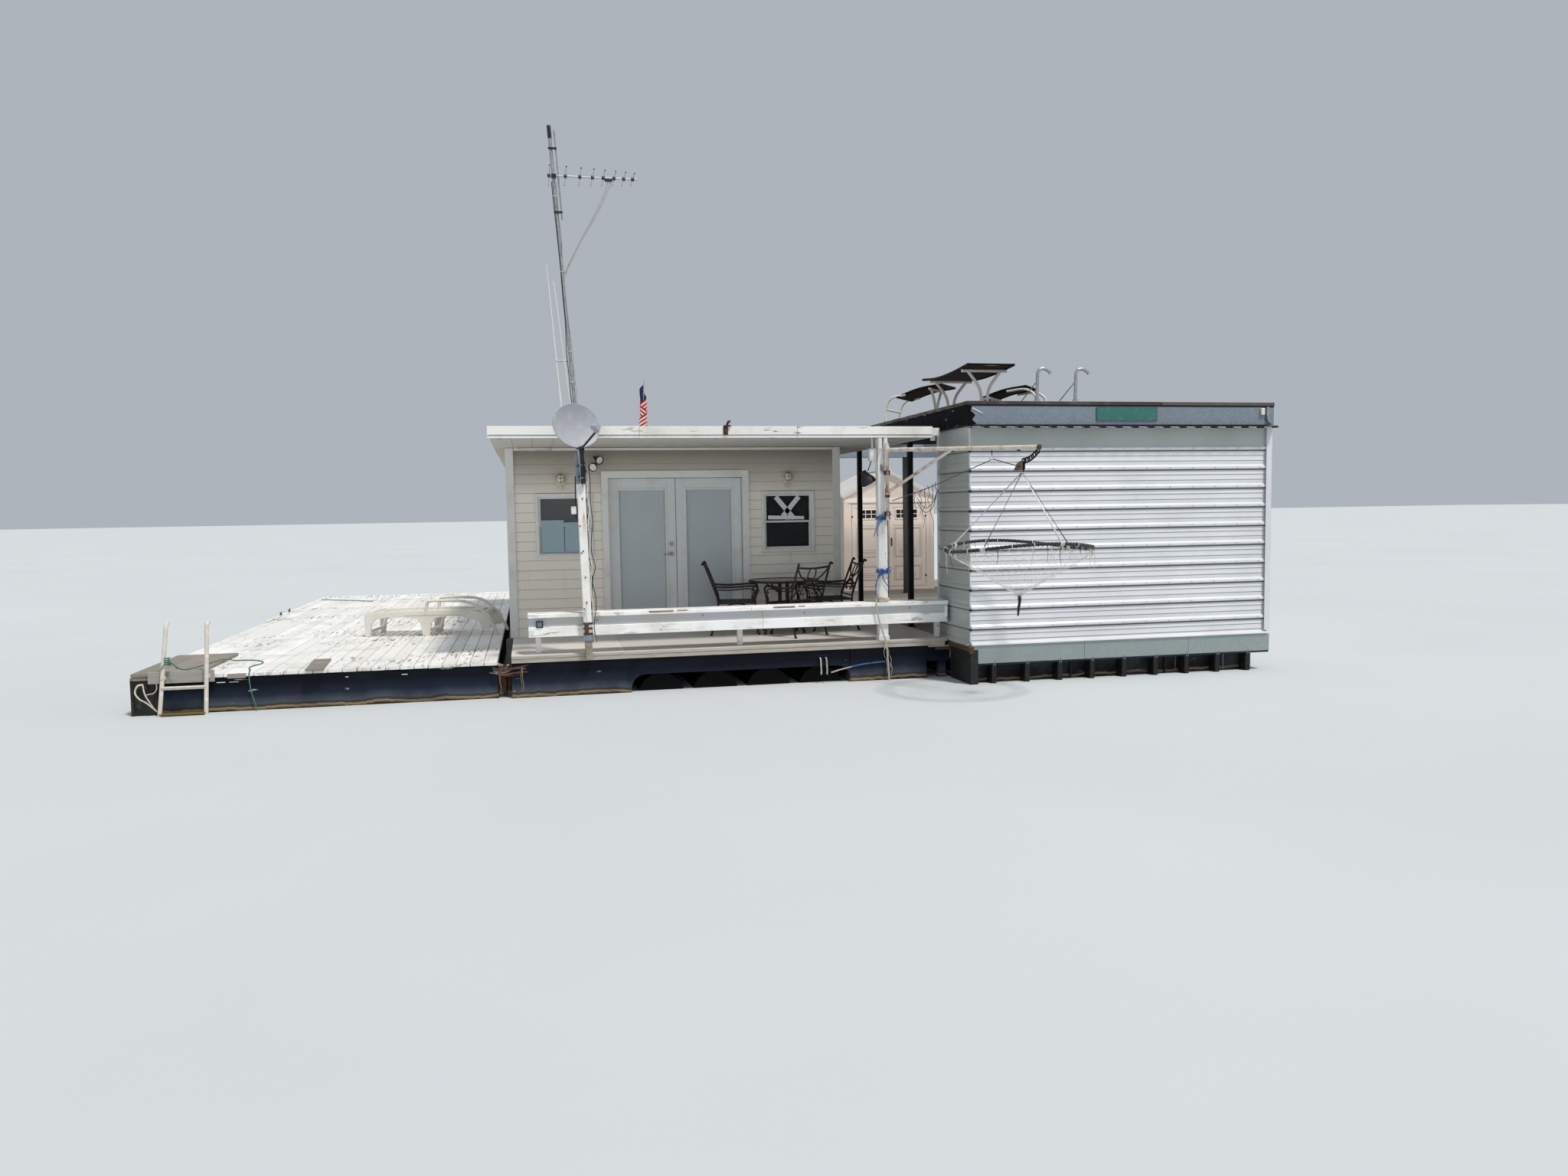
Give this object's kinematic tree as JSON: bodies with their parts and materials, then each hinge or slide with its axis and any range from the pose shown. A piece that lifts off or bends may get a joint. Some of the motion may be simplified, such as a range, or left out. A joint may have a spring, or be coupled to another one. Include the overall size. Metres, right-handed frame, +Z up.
{
  "type": "houseboat",
  "caption": "Floating house: boarded sun deck, small lap-sided cabin with porch, ribbed dock house with roof deck, shed, mast, dish and net davit on coupled floats.",
  "frame": {"origin": "middle of the outline, at the level of the floats' flat bottoms, 0.35 m below the waterline", "axes": "+X right along the front, +Y from the front to the back, +Z up"},
  "size_m": [13.12, 13.8928, 6.5514],
  "materials": {
    "navy_hull": "worn gloss paint",
    "deck_paint": "peeling white paint on boards",
    "grey_board": "weathered",
    "tan_trim": "weathered",
    "lap_siding": "satin vinyl",
    "white_paint": "worn white paint",
    "white_frame": "satin",
    "black_drum": "worn",
    "rusted_steel": "rusted",
    "aluminium": "dull",
    "galvanised": "weathered zinc",
    "dark_deck": "dull",
    "white_sheet": "satin enamel",
    "dish_enamel": "satin",
    "dark_steel": "satin",
    "white_steel": "rust-stained white",
    "resin_wall": "moulded",
    "resin_roof": "moulded",
    "wrought_iron": "dark brown enamel",
    "sling_fabric": "woven sling",
    "white_resin": "moulded",
    "green_plate": "faded",
    "net_cord": "twine",
    "flag_cloth": "woven",
    "green_rope": "twisted rope",
    "pale_rope": "frayed twisted rope"
  },
  "bodies": {
    "boat": {"sun_deck_float": "navy_hull", "sun_deck_boards": "deck_paint", "corner_step": "grey_board", "swim_ladder": "aluminium", "cabin_float": "navy_hull", "float_drums": "black_drum", "porch_deck": "tan_trim", "float_coupling_front": "rusted_steel", "float_coupling_back": "rusted_steel", "cabin_front_wall": "lap_siding", "cabin_back_wall": "lap_siding", "cabin_left_wall": "lap_siding", "cabin_right_wall": "lap_siding", "front_window_left": "white_frame", "front_window_right": "white_frame", "left_window": "white_frame", "right_window": "white_frame", "back_window": "white_frame", "cabin_roof": "white_paint", "door_frame": "white_frame", "porch_bench": "white_paint", "porch_post_left": "white_paint", "porch_post_right": "white_paint", "porch_light_left": "white_frame", "porch_light_right": "white_frame", "antenna_mast": "aluminium", "tv_aerial": "aluminium", "satellite_dish": "dish_enamel", "dish_bracket": "dark_steel", "davit_post": "white_steel", "dock_front_wall": "white_sheet", "dock_right_wall": "white_sheet", "dock_return_wall": "white_sheet", "dock_roof_frame": "galvanised", "roof_deck": "dark_deck", "blank_sign": "green_plate", "dock_deck": "grey_board", "dock_float": "galvanised", "shed_body": "resin_wall", "shed_roof": "resin_roof", "patio_table": "wrought_iron", "patio_chair_left": "wrought_iron", "patio_chair_front": "wrought_iron", "patio_chair_right": "wrought_iron", "white_chaise": "white_resin", "roof_lounger_1": "sling_fabric", "roof_lounger_2": "sling_fabric", "roof_lounger_3": "sling_fabric", "roof_handrails": "aluminium", "flag": "flag_cloth", "deck_rope": "green_rope", "rail_rope": "pale_rope"},
    "left_door": {"door_leaf_left": "white_frame"},
    "right_door": {"door_leaf_right": "white_frame"},
    "left_shed_door": {"shed_door_left": "resin_wall"},
    "right_shed_door": {"shed_door_right": "resin_wall"},
    "davit": {"davit_arm": "white_steel", "net_hoop": "net_cord", "net_bag": "net_cord"}
  },
  "joints": [
    {"name": "left_door_hinge", "type": "hinge", "parent": "boat", "child": "left_door", "pos_m": [-1.2425, -2.42656, 1.8], "axis": [0, 0, 1], "range_deg": [0, 100]},
    {"name": "right_door_hinge", "type": "hinge", "parent": "boat", "child": "right_door", "pos_m": [0.5025, -2.42656, 1.8], "axis": [0, 0, -1], "range_deg": [0, 100]},
    {"name": "left_shed_door_hinge", "type": "hinge", "parent": "boat", "child": "left_shed_door", "pos_m": [3.803, 3.73944, 1.7], "axis": [0, 0, -1], "range_deg": [0, 110]},
    {"name": "right_shed_door_hinge", "type": "hinge", "parent": "boat", "child": "right_shed_door", "pos_m": [5.307, 3.73944, 1.7], "axis": [0, 0, 1], "range_deg": [0, 110]},
    {"name": "davit_swing", "type": "hinge", "parent": "boat", "child": "davit", "pos_m": [1.885, -4.46356, 2.9], "axis": [0, 0, 1], "range_deg": [-85, 5]}
  ]
}
